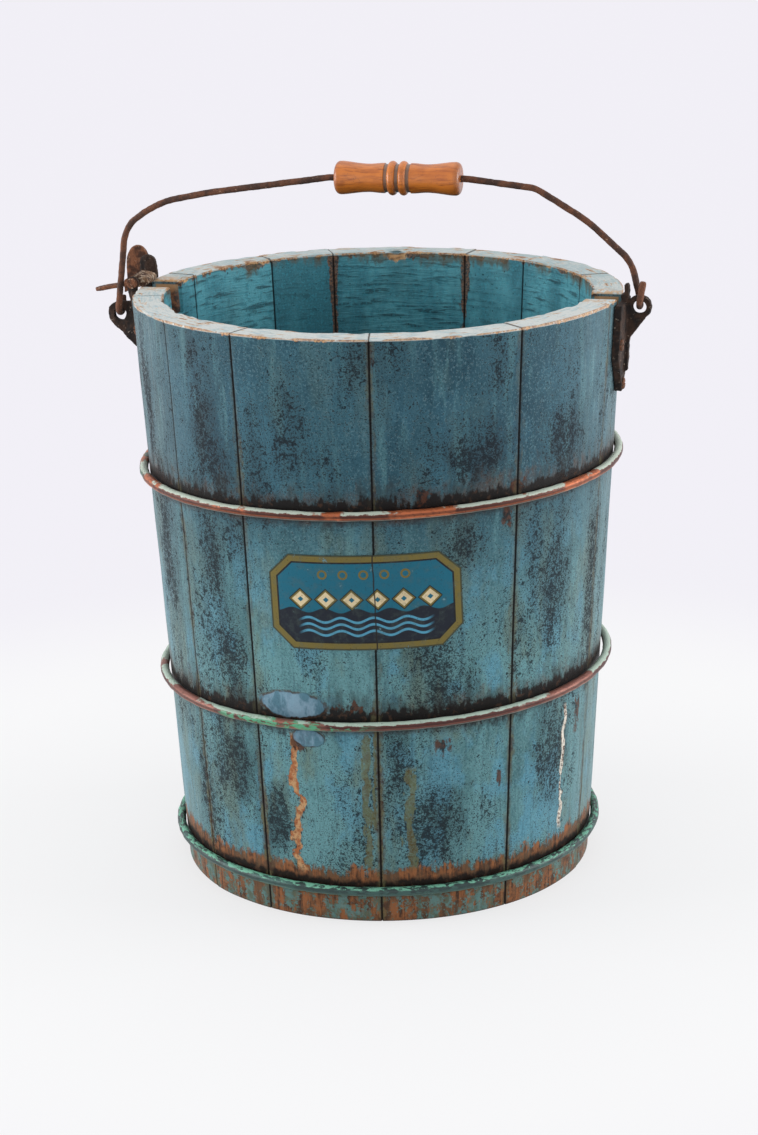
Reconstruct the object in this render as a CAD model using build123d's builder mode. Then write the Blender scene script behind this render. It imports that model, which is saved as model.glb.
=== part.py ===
from build123d import *
import math
import os

# The wooden tub of a hand cranked ice cream freezer, in millimetres. The origin is the middle of its
# foot, +Z is up, the label faces -Y, the ear on the hook side is at +X and the one on the latch side
# at -X. An azimuth is counted from the front, -Y, towards +X.

# Staves
tub_height = 360.0
rim_radius = 149.0
foot_radius = 128.7
wall = 19.0
first_seam = 12.3  # azimuth
stave_widths = [35, 33, 39, 29, 20, 39, 19, 31, 29, 32, 22, 32]  # degrees, all the way round
seam_chamfer = 0.5
rim_chamfer = 1.2
notch_width = 21.0
notch_depth = 20.0
notch_chamfer = 1.0
hook_azimuth = 90.0
latch_azimuth = 270.0
drain_azimuth = 188.0
drain_height = 235.0
drain_radius = 7.0

# Floor
chime = 20.0
floor_thickness = 16.0
groove_depth = 5.0
groove_play = 0.3
floor_seams = [-55.0, 4.0, 58.0]  # y of the joints between the boards

# Hoops: height, tilt in degrees up towards the right of the front, looseness and sideways shift
hoop_wire = 5.5
hoop_rise_azimuth = 104.5
hoop_upper_height = 258.0
hoop_upper_tilt = 1.375
hoop_upper_slack = 0.55
hoop_upper_shift = 0.0
hoop_middle_height = 128.7
hoop_middle_tilt = 1.6
hoop_middle_slack = 1.1
hoop_middle_shift = 0.5
hoop_lower_height = 21.2
hoop_lower_tilt = 0.0
hoop_lower_slack = 0.3
hoop_lower_shift = 0.0

# Ear castings: drops are counted down from the rim, rises up from it, and reaches outwards from it
ear_thickness = 4.5
ear_play = 0.1  # between the casting and the wall
ear_half_width = 17.0
ear_top_drop = 3.0
ear_shoulder_drop = 35.0
ear_tip_drop = 58.0
ear_tip_radius = 5.0
rib_width = 5.0
rib_proud = 2.5
lug_thickness = 4.0
eye_radius = 4.0
hook_eye_reach = 11.4
hook_eye_drop = 6.2
hook_ring_radius = 7.2
hook_web_drop = 25.0
latch_eye_reach = 17.0
latch_eye_drop = 19.8
latch_ring_radius = 8.0
latch_web_drop = 43.0
prong_width = 6.0
prong_reach = 4.2
prong_rise = 8.0

# Screws
screw_shank = 1.8
screw_hole_play = 0.2
screw_length = 15.0
screw_head = 3.6
screw_head_height = 2.2
screw_seat = 1.0
screw_spread = 12.5
screw_drop = 27.0
screw_slot = 0.8

# Latch
latch_pin_reach = 3.2
latch_pin_rise = 2.3
latch_pin_radius = 2.0
latch_running_fit = 0.05
latch_side_play = 0.3
lug_spread = 12.1  # inner faces of the two latch lugs, from the middle of the notch
near_lug_thickness = 3.0
near_lug_radius = 3.9
far_lug_thickness = 3.5
far_lug_radius = 5.2
far_lug_rise = 15.0
far_lug_lap = 3.5  # how far it reaches in over the rim
far_lug_waist_drop = 4.0
lug_root_rise = 4.0  # foot of both lugs above the notch's floor
pin_head_radius = 3.4
pin_head_thickness = 1.4
cam_width = 17.6
cam_radius = 4.0
cam_lobe = 7.8
cam_lobe_radius = 2.8
lever_thickness = 4.0
lever_width = 15.1
lever_rise = 20.2
lever_crown = 12.0
lever_drop = 3.0
lever_root = 7.0  # length of the lump under the thumb piece
lever_root_width = 2.0
thumb_length = 24.0
thumb_width = 9.5
thumb_thickness = 2.3
thumb_droop = 11.0  # degrees
thumb_root_drop = 6.3

# Bail
bail_wire = 4.0
loop_radius = 5.3
bail_rise = 67.4
latch_shoulder_in = 7.5  # its bends: how far in from the eye, and how far below the grip
latch_shoulder_drop = 31.4
latch_knee_in = 30.0
latch_knee_drop = 16.4
latch_slope_in = 62.0
latch_slope_drop = 10.1
hook_slope_in = 63.4
hook_slope_drop = 5.0
hook_knee_in = 32.4
hook_knee_drop = 23.9
hook_shoulder_in = 5.9
hook_shoulder_drop = 47.9
grip_neck = 4.0  # straight wire beside the grip
latch_stub = 10.0
hook_stub = 16.0
hook_stub_lean = 10.0  # degrees

# Grip
grip_middle = 14.1
grip_length = 76.6
grip_end_radius = 10.0
grip_waist_radius = 8.5
grip_waist_place = 15.8
grip_swell_radius = 9.0
bead_radius = 10.3
bead_width = 4.9
bead_place = 3.35
bead_groove_radius = 8.4
grip_end_round = 3.2
grip_play = 0.1

# Socket that the can turns in
socket_plate_radius = 26.0
socket_plate_thickness = 3.5
socket_boss_radius = 11.0
socket_boss_height = 12.0
socket_radius = 6.0
socket_depth = 9.0
socket_screw_circle = 19.0
socket_screw_count = 3
socket_screw_shank = 2.0
socket_screw_length = 11.0
socket_screw_head = 3.8

# Label
label_azimuth = 10.0
label_height = 204.5
label_width = 111.0
label_drop = 58.0
label_corner = 12.0
label_thickness = 0.3
label_play = 0.2
label_tilt = 1.5  # degrees


def wall_radius(height):
    return foot_radius + (rim_radius - foot_radius) * height / tub_height


def outward(azimuth):
    turn = math.radians(azimuth - 90)
    return Vector(math.cos(turn), math.sin(turn), 0)


def upright_plane(azimuth):
    # Through the tub's axis: x runs outwards at the azimuth, y runs up
    across = outward(azimuth + 90)
    return Plane(origin=(0, 0, 0), x_dir=outward(azimuth), z_dir=-across)


def facing_plane(azimuth, height=0.0, distance=0.0):
    # Looks outwards at the azimuth: x runs to the right of someone facing the tub, y runs up
    origin = outward(azimuth) * distance + Vector(0, 0, height)
    return Plane(origin=origin, x_dir=outward(azimuth + 90), z_dir=outward(azimuth))


def save(piece, label):
    piece.part.label = label
    export_step(piece.part, f"parts/{label}.step")


os.makedirs("parts", exist_ok=True)

floor_top = chime + floor_thickness
ear_top = tub_height - ear_top_drop
ear_shoulder = tub_height - ear_shoulder_drop
ear_tip = tub_height - ear_tip_drop
hook_eye_x = rim_radius + hook_eye_reach
hook_eye_height = tub_height - hook_eye_drop
hook_web_foot = tub_height - hook_web_drop
latch_eye_x = rim_radius + latch_eye_reach
latch_eye_height = tub_height - latch_eye_drop
latch_web_foot = tub_height - latch_web_drop
prong_height = tub_height + prong_rise
latch_pin_x = rim_radius + latch_pin_reach
latch_pin_height = tub_height + latch_pin_rise
far_lug_top = tub_height + far_lug_rise
lever_top = tub_height + lever_rise
lever_bottom = tub_height - lever_drop
bail_top = tub_height + bail_rise
groove_radius = wall_radius(chime) - wall + groove_depth
seams = [first_seam + sum(stave_widths[:count]) for count in range(len(stave_widths))]
screw_places = [(0, ear_tip + ear_tip_radius)]
screw_places += [(side, tub_height - screw_drop) for side in (-screw_spread, screw_spread)]


def screw_seat_reach(side, height):
    # Where the head of an ear screw sits, measured out from the tub's axis
    surface = wall_radius(height) + ear_play + ear_thickness
    return math.sqrt(surface**2 - side**2) - screw_seat


# Staves, each with its notch, drain and screw holes
for number, (start, width) in enumerate(zip(seams, stave_widths), 1):
    with BuildPart() as stave:
        with BuildSketch(upright_plane(start)) as section:
            with BuildLine():
                Polyline(
                    (foot_radius - wall, 0),
                    (foot_radius, 0),
                    (rim_radius, tub_height),
                    (rim_radius - wall, tub_height),
                    close=True,
                )
            make_face()
            chamfer(section.vertices().group_by(Axis.Z)[-1], rim_chamfer)
            with Locations((groove_radius, chime)):
                Rectangle(
                    wall,
                    floor_thickness + groove_play,
                    align=(Align.MAX, Align.MIN),
                    mode=Mode.SUBTRACT,
                )
        revolve(axis=Axis.Z, revolution_arc=width)
        sides = stave.faces().filter_by(GeomType.PLANE).filter_by(lambda face: abs(face.normal_at().Z) < 0.1)
        chamfer(sides.edges().filter_by(lambda edge: edge.length > tub_height / 2), seam_chamfer)
        for azimuth in (hook_azimuth, latch_azimuth):
            if start < azimuth < start + width:
                with BuildSketch(facing_plane(azimuth, tub_height)):
                    Rectangle(notch_width, 2 * notch_depth)
                extrude(amount=2 * rim_radius, mode=Mode.SUBTRACT)
                radial = Axis(origin=(0, 0, 0), direction=outward(azimuth))
                mouth = stave.edges().filter_by(GeomType.LINE).filter_by(radial)
                chamfer(mouth.group_by(Axis.Z)[-1], notch_chamfer)
                for side, height in screw_places:
                    seat = screw_seat_reach(side, height)
                    with Locations(facing_plane(azimuth, height, seat)):
                        with Locations((side, 0, 0)):
                            Cylinder(
                                screw_shank,
                                screw_length,
                                align=(Align.CENTER, Align.CENTER, Align.MAX),
                                mode=Mode.SUBTRACT,
                            )
        if start < drain_azimuth < start + width:
            with BuildSketch(facing_plane(drain_azimuth, drain_height)):
                Circle(drain_radius)
            extrude(amount=2 * rim_radius, mode=Mode.SUBTRACT)
    save(stave, f"stave_{number:02d}")

# Floor boards, their edges in the groove of the staves
floor_radius = groove_radius - groove_play
board_edges = [-floor_radius, *floor_seams, floor_radius]
for number, (low, high) in enumerate(zip(board_edges, board_edges[1:]), 1):
    with BuildPart() as board:
        with BuildSketch(Plane.XY.offset(chime)):
            Circle(floor_radius)
            with Locations((0, (low + high) / 2)):
                Rectangle(2 * floor_radius, high - low, mode=Mode.INTERSECT)
        extrude(amount=floor_thickness)
        with Locations((0, 0, floor_top + socket_plate_thickness)):
            with PolarLocations(socket_screw_circle, socket_screw_count, start_angle=90):
                Cylinder(
                    socket_screw_shank,
                    socket_screw_length,
                    align=(Align.CENTER, Align.CENTER, Align.MAX),
                    mode=Mode.SUBTRACT,
                )
    save(board, f"floor_board_{number}")

# Socket in the middle of the floor
with BuildPart() as can_socket:
    with BuildSketch(Plane.XY.offset(floor_top)):
        Circle(socket_plate_radius)
    extrude(amount=socket_plate_thickness)
    with BuildSketch(Plane.XY.offset(floor_top)):
        Circle(socket_boss_radius)
    extrude(amount=socket_boss_height)
    boss_foot = can_socket.edges().filter_by(GeomType.CIRCLE).filter_by_position(
        Axis.Z, floor_top + socket_plate_thickness, floor_top + socket_plate_thickness
    )
    fillet(boss_foot.sort_by(SortBy.RADIUS)[0], (socket_boss_height - socket_plate_thickness) / 4)
    with BuildSketch(Plane.XY.offset(floor_top + socket_boss_height)):
        Circle(socket_radius)
    extrude(amount=-socket_depth, mode=Mode.SUBTRACT)
    with Locations((0, 0, floor_top)):
        with PolarLocations(socket_screw_circle, socket_screw_count, start_angle=90):
            Cylinder(
                socket_screw_shank + screw_hole_play,
                socket_plate_thickness,
                align=(Align.CENTER, Align.CENTER, Align.MIN),
                mode=Mode.SUBTRACT,
            )
save(can_socket, "can_socket")

with BuildPart() as can_socket_screws:
    with Locations((0, 0, floor_top + socket_plate_thickness)):
        with PolarLocations(socket_screw_circle, socket_screw_count, start_angle=90):
            Cylinder(socket_screw_shank, socket_screw_length, align=(Align.CENTER, Align.CENTER, Align.MAX))
            Cylinder(socket_screw_head, screw_head_height, align=(Align.CENTER, Align.CENTER, Align.MIN))
    crowns = can_socket_screws.edges().filter_by(GeomType.CIRCLE).group_by(Axis.Z)[-1]
    fillet(crowns, screw_head_height / 2)
    with Locations((0, 0, floor_top + socket_plate_thickness + screw_head_height)):
        with PolarLocations(socket_screw_circle, socket_screw_count, start_angle=90):
            Box(2 * socket_screw_head, screw_slot, screw_head_height, mode=Mode.SUBTRACT)
save(can_socket_screws, "can_socket_screws")

# Hoops of round wire, a little slack on the tapered wall
hoops = {
    "hoop_upper": (hoop_upper_height, hoop_upper_tilt, hoop_upper_slack, hoop_upper_shift),
    "hoop_middle": (hoop_middle_height, hoop_middle_tilt, hoop_middle_slack, hoop_middle_shift),
    "hoop_lower": (hoop_lower_height, hoop_lower_tilt, hoop_lower_slack, hoop_lower_shift),
}
rise_direction = outward(hoop_rise_azimuth)
for name, (height, tilt, slack, shift) in hoops.items():
    middle = rise_direction * shift + Vector(0, 0, height)
    upwards = Vector(0, 0, 1) - rise_direction * math.tan(math.radians(tilt))
    with BuildPart(Plane(origin=middle, z_dir=upwards)) as hoop:
        Torus(wall_radius(height) + slack + hoop_wire / 2, hoop_wire / 2)
    save(hoop, name)


# Ear castings
def ear_surface(height):
    return wall_radius(height) + ear_play + ear_thickness


def ear_skin(height):
    # Half way through the casting, where ribs and lugs are rooted
    return wall_radius(height) + ear_play + ear_thickness / 2


def ear_plate(azimuth, notched):
    # The strap that follows the wall, spear shaped, with a rib down its middle
    sector = 30.0
    with BuildPart() as plate:
        with BuildSketch(upright_plane(azimuth - sector / 2)):
            with BuildLine():
                Polyline(
                    (foot_radius + ear_play, 0),
                    (foot_radius + ear_play + ear_thickness, 0),
                    (rim_radius + ear_play + ear_thickness, tub_height),
                    (rim_radius + ear_play, tub_height),
                    close=True,
                )
            make_face()
        revolve(axis=Axis.Z, revolution_arc=sector)
        with BuildSketch(facing_plane(azimuth)):
            with BuildLine():
                Polyline(
                    (-ear_half_width, ear_top),
                    (-ear_half_width, ear_shoulder),
                    (-ear_tip_radius, ear_tip + ear_tip_radius),
                    (ear_tip_radius, ear_tip + ear_tip_radius),
                    (ear_half_width, ear_shoulder),
                    (ear_half_width, ear_top),
                    close=True,
                )
            make_face()
            with Locations((0, ear_tip + ear_tip_radius)):
                Circle(ear_tip_radius)
            if notched:
                with Locations((0, tub_height - notch_depth)):
                    Rectangle(notch_width, notch_depth, align=(Align.CENTER, Align.MIN), mode=Mode.SUBTRACT)
        extrude(amount=2 * rim_radius, mode=Mode.INTERSECT)
    return plate.part


def ear_rib(azimuth, top):
    bottom = ear_tip + 2 * ear_tip_radius + 1
    with BuildPart() as rib:
        with BuildSketch(upright_plane(azimuth)):
            with BuildLine():
                Polyline(
                    (ear_skin(bottom), bottom),
                    (ear_surface(bottom + rib_proud) + rib_proud, bottom + rib_proud),
                    (ear_surface(top) + rib_proud, top),
                    (ear_skin(top), top),
                    close=True,
                )
            make_face()
        extrude(amount=rib_width / 2, both=True)
    return rib.part


def drill_screw_holes(azimuth):
    for side, height in screw_places:
        with Locations(facing_plane(azimuth, height, screw_seat_reach(side, height))):
            with Locations((side, 0, 0)):
                Cylinder(
                    screw_shank + screw_hole_play,
                    screw_length,
                    align=(Align.CENTER, Align.CENTER, Align.MAX),
                    mode=Mode.SUBTRACT,
                )
                Cylinder(
                    screw_head + screw_hole_play,
                    screw_length,
                    align=(Align.CENTER, Align.CENTER, Align.MIN),
                    mode=Mode.SUBTRACT,
                )


with BuildPart() as ear_hook_side:
    add(ear_plate(hook_azimuth, False))
    add(ear_rib(hook_azimuth, hook_web_foot))
    with BuildSketch(upright_plane(hook_azimuth)):
        with BuildLine():
            Polyline(
                (ear_skin(hook_web_foot), hook_web_foot),
                (ear_surface(hook_web_foot) + rib_proud, hook_web_foot),
                (hook_eye_x + 0.6 * hook_ring_radius, hook_eye_height - 0.8 * hook_ring_radius),
                (hook_eye_x, hook_eye_height + hook_ring_radius),
                (ear_surface(ear_top), ear_top),
                (ear_skin(ear_top), ear_top),
                close=True,
            )
        make_face()
        with Locations((hook_eye_x, hook_eye_height)):
            Circle(hook_ring_radius)
    extrude(amount=lug_thickness / 2, both=True)
    with BuildSketch(upright_plane(hook_azimuth)):
        with BuildLine():
            Polyline(
                (ear_skin(ear_top) - 1, ear_top - 3),
                (ear_surface(ear_top), ear_top - 3),
                (ear_surface(ear_top) + 1.0, prong_height - 2),
                (ear_surface(ear_top), prong_height),
                (ear_surface(ear_top) - prong_reach / 2, prong_height - 1),
                (ear_surface(ear_top) - prong_reach / 2, tub_height + 2),
                (ear_surface(ear_top) - prong_reach, tub_height + 0.5),
                close=True,
            )
        make_face()
    extrude(amount=prong_width / 2, both=True)
    with BuildSketch(upright_plane(hook_azimuth)):
        with Locations((hook_eye_x, hook_eye_height)):
            Circle(eye_radius)
    extrude(amount=lug_thickness, both=True, mode=Mode.SUBTRACT)
    drill_screw_holes(hook_azimuth)
save(ear_hook_side, "ear_hook_side")

# The latch side has two lugs beside the notch, which carry the latch's pin
notch_floor = tub_height - notch_depth
lug_root = notch_floor + lug_root_rise
tongue_reach = latch_pin_x + near_lug_radius + 1
far_lug_middle = latch_pin_x - 0.6
far_lug_plane = upright_plane(latch_azimuth).offset(lug_spread)
near_lug_plane = upright_plane(latch_azimuth).offset(-lug_spread)
with BuildPart() as ear_latch_side:
    add(ear_plate(latch_azimuth, True))
    add(ear_rib(latch_azimuth, latch_web_foot))
    with BuildSketch(upright_plane(latch_azimuth)):
        with BuildLine():
            Polyline(
                (ear_skin(latch_web_foot), latch_web_foot),
                (ear_surface(latch_web_foot) + rib_proud, latch_web_foot),
                (latch_eye_x + 0.66 * latch_ring_radius, latch_eye_height - 0.75 * latch_ring_radius),
                (latch_eye_x, latch_eye_height + latch_ring_radius),
                (tongue_reach, latch_eye_height + latch_ring_radius),
                (tongue_reach, notch_floor - 1),
                (ear_skin(notch_floor - 1), notch_floor - 1),
                close=True,
            )
        make_face()
        with Locations((latch_eye_x, latch_eye_height)):
            Circle(latch_ring_radius)
            Circle(eye_radius, mode=Mode.SUBTRACT)
    extrude(amount=lug_thickness / 2, both=True)
    with BuildSketch(near_lug_plane):
        with BuildLine():
            Polyline(
                (latch_pin_x - near_lug_radius + 1, latch_pin_height - 2),
                (ear_skin(lug_root), lug_root),
                (ear_surface(lug_root), lug_root),
                (latch_pin_x + near_lug_radius, latch_pin_height),
                close=True,
            )
        make_face()
        with Locations((latch_pin_x, latch_pin_height)):
            Circle(near_lug_radius)
    extrude(amount=-near_lug_thickness)
    with BuildSketch(far_lug_plane):
        with BuildLine():
            Polyline(
                (rim_radius - far_lug_lap, tub_height + latch_side_play),
                (rim_radius + latch_side_play, tub_height + latch_side_play),
                (rim_radius + latch_side_play, lug_root),
                (ear_surface(lug_root), lug_root),
                (far_lug_middle + far_lug_radius, tub_height - far_lug_waist_drop),
                (far_lug_middle + far_lug_radius, far_lug_top - far_lug_radius),
                (far_lug_middle - far_lug_radius, far_lug_top - far_lug_radius),
                close=True,
            )
        make_face()
        with Locations((far_lug_middle, far_lug_top - far_lug_radius)):
            Circle(far_lug_radius)
    extrude(amount=far_lug_thickness)
    with BuildSketch(upright_plane(latch_azimuth)):
        with Locations((latch_pin_x, latch_pin_height)):
            Circle(latch_pin_radius + latch_running_fit)
    extrude(amount=2 * lug_spread, both=True, mode=Mode.SUBTRACT)
    drill_screw_holes(latch_azimuth)
save(ear_latch_side, "ear_latch_side")

for name, azimuth in (("ear_hook_screws", hook_azimuth), ("ear_latch_screws", latch_azimuth)):
    with BuildPart() as screws:
        for side, height in screw_places:
            with Locations(facing_plane(azimuth, height, screw_seat_reach(side, height))):
                with Locations((side, 0, 0)):
                    Cylinder(screw_shank, screw_length, align=(Align.CENTER, Align.CENTER, Align.MAX))
                    Cylinder(screw_head, screw_head_height, align=(Align.CENTER, Align.CENTER, Align.MIN))
        away = Axis(origin=(0, 0, 0), direction=outward(azimuth))
        for solid in screws.solids():
            crown = solid.edges().filter_by(GeomType.CIRCLE).sort_by(away)[-1]
            fillet(crown, screw_head_height / 2)
        for side, height in screw_places:
            crown_reach = screw_seat_reach(side, height) + screw_head_height
            with Locations(facing_plane(azimuth, height, crown_reach)):
                with Locations((side, 0, 0)):
                    Box(2 * screw_head, screw_slot, screw_head_height, mode=Mode.SUBTRACT)
    save(screws, name)

# Latch: a flat lever and a cam on one pin
latch_plane = upright_plane(latch_azimuth)
lever_face = lug_spread + far_lug_thickness + latch_side_play
lever_inner_edge = latch_pin_x - latch_side_play
lever_middle = lever_inner_edge + lever_width / 2
lever_outer_edge = lever_inner_edge + lever_width
droop = math.radians(thumb_droop)
thumb_direction = outward(latch_azimuth) * math.cos(droop) - Vector(0, 0, math.sin(droop))
thumb_plane = Plane(
    origin=latch_plane.from_local_coords(
        (lever_outer_edge - 2, latch_pin_height - thumb_root_drop, lever_face + lever_thickness / 2)
    ),
    x_dir=thumb_direction,
    z_dir=thumb_direction.cross(latch_plane.z_dir),
)
with BuildPart() as latch_lever:
    with BuildSketch(latch_plane.offset(lever_face)):
        with Locations((latch_pin_x, latch_pin_height)):
            Circle(near_lug_radius)
        with BuildLine():
            Polyline(
                (latch_pin_x, latch_pin_height - near_lug_radius),
                (lever_outer_edge + lever_root_width, lever_bottom - lever_root),
                (lever_outer_edge + lever_root_width, lever_bottom + 1),
                (lever_outer_edge, lever_bottom + 2),
                (lever_outer_edge, lever_top - lever_crown),
                (lever_inner_edge, lever_top - lever_crown),
                (lever_inner_edge, latch_pin_height),
                close=True,
            )
        make_face()
        with Locations((lever_middle, lever_top - lever_crown)):
            Ellipse(lever_width / 2, lever_crown)
    extrude(amount=lever_thickness)
    upright_edges = latch_lever.faces().sort_by(Axis.Y)
    crown_edges = upright_edges[0].edges() + upright_edges[-1].edges()
    fillet(crown_edges.filter_by(GeomType.ELLIPSE), lever_thickness / 4)
    with BuildSketch(thumb_plane):
        Rectangle(thumb_length - thumb_width / 2, thumb_width, align=(Align.MIN, Align.CENTER))
        with Locations((thumb_length - thumb_width / 2, 0)):
            Circle(thumb_width / 2)
    extrude(amount=thumb_thickness / 2, both=True)
    with BuildSketch(latch_plane):
        with Locations((latch_pin_x, latch_pin_height)):
            Circle(latch_pin_radius)
    extrude(amount=lever_face + lever_thickness, mode=Mode.SUBTRACT)
save(latch_lever, "latch_lever")

with BuildPart() as latch_cam:
    with BuildSketch(latch_plane):
        with Locations((latch_pin_x, latch_pin_height)):
            Circle(cam_radius)
        with Locations((latch_pin_x - cam_lobe + cam_lobe_radius, latch_pin_height)):
            Circle(cam_lobe_radius)
        make_hull()
        with Locations((latch_pin_x, latch_pin_height)):
            Circle(latch_pin_radius, mode=Mode.SUBTRACT)
    extrude(amount=cam_width / 2, both=True)
save(latch_cam, "latch_cam")

pin_start = lug_spread + near_lug_thickness + latch_side_play
with BuildPart() as latch_pin:
    with BuildSketch(latch_plane.offset(-pin_start)):
        with Locations((latch_pin_x, latch_pin_height)):
            Circle(latch_pin_radius)
    extrude(amount=pin_start + lever_face + lever_thickness)
    for place, direction in ((-pin_start, -1), (lever_face + lever_thickness, 1)):
        with BuildSketch(latch_plane.offset(place)):
            with Locations((latch_pin_x, latch_pin_height)):
                Circle(pin_head_radius)
        extrude(amount=direction * pin_head_thickness)
    ends = latch_pin.edges().filter_by(GeomType.CIRCLE).group_by(Axis.Y)
    fillet(ends[0] + ends[-1], pin_head_thickness / 2)
save(latch_pin, "latch_pin")

# Bail: its two ends loop round the rings of the ears, in front on the latch side, behind on the hook side
latch_loop_height = latch_eye_height + (eye_radius + latch_ring_radius) / 2 - loop_radius
hook_loop_height = hook_eye_height + (eye_radius + hook_ring_radius) / 2 - loop_radius
bail_span = latch_eye_x + hook_eye_x


def bail_side(reach):
    # The bail's plane runs a little slantwise, from the front on the latch side to the back on the hook side
    return loop_radius * (2 * (reach + latch_eye_x) / bail_span - 1)


def bail_point(reach, height):
    return (reach, bail_side(reach), height)


grip_latch_end = grip_middle - grip_length / 2
grip_hook_end = grip_middle + grip_length / 2
stub_lean = math.radians(hook_stub_lean)
bail_path = [
    (-latch_eye_x, loop_radius, latch_loop_height + latch_stub),
    (-latch_eye_x, loop_radius, latch_loop_height),
    (-latch_eye_x, -loop_radius, latch_loop_height),
    bail_point(latch_shoulder_in - latch_eye_x, bail_top - latch_shoulder_drop),
    bail_point(latch_knee_in - latch_eye_x, bail_top - latch_knee_drop),
    bail_point(latch_slope_in - latch_eye_x, bail_top - latch_slope_drop),
    bail_point(grip_latch_end - grip_neck, bail_top),
    bail_point(grip_hook_end + grip_neck, bail_top),
    bail_point(hook_eye_x - hook_slope_in, bail_top - hook_slope_drop),
    bail_point(hook_eye_x - hook_knee_in, bail_top - hook_knee_drop),
    bail_point(hook_eye_x - hook_shoulder_in, bail_top - hook_shoulder_drop),
    (hook_eye_x, loop_radius, hook_loop_height),
    (hook_eye_x, -loop_radius, hook_loop_height),
    (
        hook_eye_x + hook_stub * math.sin(stub_lean),
        -loop_radius,
        hook_loop_height + hook_stub * math.cos(stub_lean),
    ),
]
hook_bend = loop_radius - 0.1
bail_bends = [hook_bend, hook_bend, 22, 60, 150, 12, 12, 16, 80, 24, hook_bend, hook_bend]
with BuildPart() as bail:
    with BuildLine() as bail_line:
        FilletPolyline(*bail_path, radius=bail_bends)
    with BuildSketch(Plane(origin=bail_line.line @ 0, z_dir=bail_line.line % 0)):
        Circle(bail_wire / 2)
    sweep(path=bail_line.line)
    fillet(bail.faces().filter_by(GeomType.PLANE).edges(), bail_wire / 5)
save(bail, "bail_wire")

# Grip, turned from wood, with two beads in the middle
grip_direction = Vector(bail_span, 2 * loop_radius, 0)
grip_plane = Plane(
    origin=bail_point(grip_middle, bail_top),
    x_dir=grip_direction,
    z_dir=grip_direction.cross(Vector(0, 0, 1)),
)
grip_half = grip_length / 2
bead_half = bead_width / 2
swell_start = bead_place + bead_half + 1.8
with BuildPart() as grip:
    with BuildSketch(grip_plane):
        with BuildLine():
            Line((0, 0), (0, bead_groove_radius))
            Line((0, bead_groove_radius), (bead_place - bead_half, bead_groove_radius))
            ThreePointArc(
                (bead_place - bead_half, bead_groove_radius),
                (bead_place, bead_radius),
                (bead_place + bead_half, bead_groove_radius),
            )
            Line((bead_place + bead_half, bead_groove_radius), (swell_start, bead_groove_radius))
            Line((swell_start, bead_groove_radius), (swell_start + 0.4, grip_swell_radius))
            Spline(
                (swell_start + 0.4, grip_swell_radius),
                (grip_waist_place, grip_waist_radius),
                (0.8 * grip_half, grip_end_radius - 0.3),
                (grip_half - grip_end_round, grip_end_radius),
                tangents=((1, 0.05), (1, 0)),
            )
            RadiusArc(
                (grip_half - grip_end_round, grip_end_radius),
                (grip_half, grip_end_radius - grip_end_round),
                grip_end_round,
            )
            Line((grip_half, grip_end_radius - grip_end_round), (grip_half, 0))
            Line((grip_half, 0), (0, 0))
        make_face()
    revolve(axis=Axis(grip_plane.origin, grip_plane.x_dir))
    mirror(about=Plane(grip_plane.origin, z_dir=grip_plane.x_dir))
    with BuildSketch(Plane(grip_plane.origin, z_dir=grip_plane.x_dir)):
        Circle(bail_wire / 2 + grip_play)
    extrude(amount=grip_length, both=True, mode=Mode.SUBTRACT)
save(grip, "bail_grip")

# Label, a thin skin on the front of the wall
label_sector = 70.0
with BuildPart() as label:
    with BuildSketch(upright_plane(label_azimuth - label_sector / 2)):
        with BuildLine():
            Polyline(
                (foot_radius + label_play, 0),
                (foot_radius + label_play + label_thickness, 0),
                (rim_radius + label_play + label_thickness, tub_height),
                (rim_radius + label_play, tub_height),
                close=True,
            )
        make_face()
    revolve(axis=Axis.Z, revolution_arc=label_sector)
    with BuildSketch(facing_plane(label_azimuth, label_height)) as outline:
        Rectangle(label_width, label_drop, rotation=label_tilt)
        chamfer(outline.vertices(), label_corner)
    extrude(amount=2 * rim_radius, mode=Mode.INTERSECT)
save(label, "label")
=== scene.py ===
import math

import bmesh
import bpy
from mathutils import Matrix, Vector, noise


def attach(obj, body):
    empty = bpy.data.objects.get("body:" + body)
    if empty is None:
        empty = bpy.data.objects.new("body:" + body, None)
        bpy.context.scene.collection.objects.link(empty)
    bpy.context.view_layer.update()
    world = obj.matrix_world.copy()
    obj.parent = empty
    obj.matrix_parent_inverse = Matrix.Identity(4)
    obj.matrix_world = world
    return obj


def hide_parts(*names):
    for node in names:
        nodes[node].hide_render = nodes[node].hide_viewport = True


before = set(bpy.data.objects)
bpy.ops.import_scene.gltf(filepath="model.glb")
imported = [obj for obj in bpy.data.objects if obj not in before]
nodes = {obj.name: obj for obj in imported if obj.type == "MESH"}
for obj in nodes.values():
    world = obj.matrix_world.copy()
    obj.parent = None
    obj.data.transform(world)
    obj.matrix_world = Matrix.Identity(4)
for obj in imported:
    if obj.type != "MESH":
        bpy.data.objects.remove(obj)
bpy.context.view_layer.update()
print("frame loaded:", len(nodes), "nodes")

# Lengths are metres in the meshes and millimetres in the materials. An azimuth is in degrees, 0 at the
# front (-Y), 90 at +X.
tub = {
    "height": 0.360,
    "rimRadius": 0.149,
    "footRadius": 0.1287,
    "wall": 0.019,
    "facing": 14.5,  # the azimuth in the middle of the camera's view
    "firstSeam": 12.3,
    "staveWidths": [35, 33, 39, 29, 20, 39, 19, 31, 29, 32, 22, 32],
}
seams = [tub["firstSeam"] + sum(tub["staveWidths"][:count]) for count in range(len(tub["staveWidths"]))]
# the materials' own, in millimetres
rimTop = tub["height"] * 1000
wallThick = tub["wall"] * 1000


def wallRadius(height):
    return tub["footRadius"] + (tub["rimRadius"] - tub["footRadius"]) * height / tub["height"]


def outward(azimuth):
    turn = math.radians(azimuth - 90)
    return Vector((math.cos(turn), math.sin(turn), 0))


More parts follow.
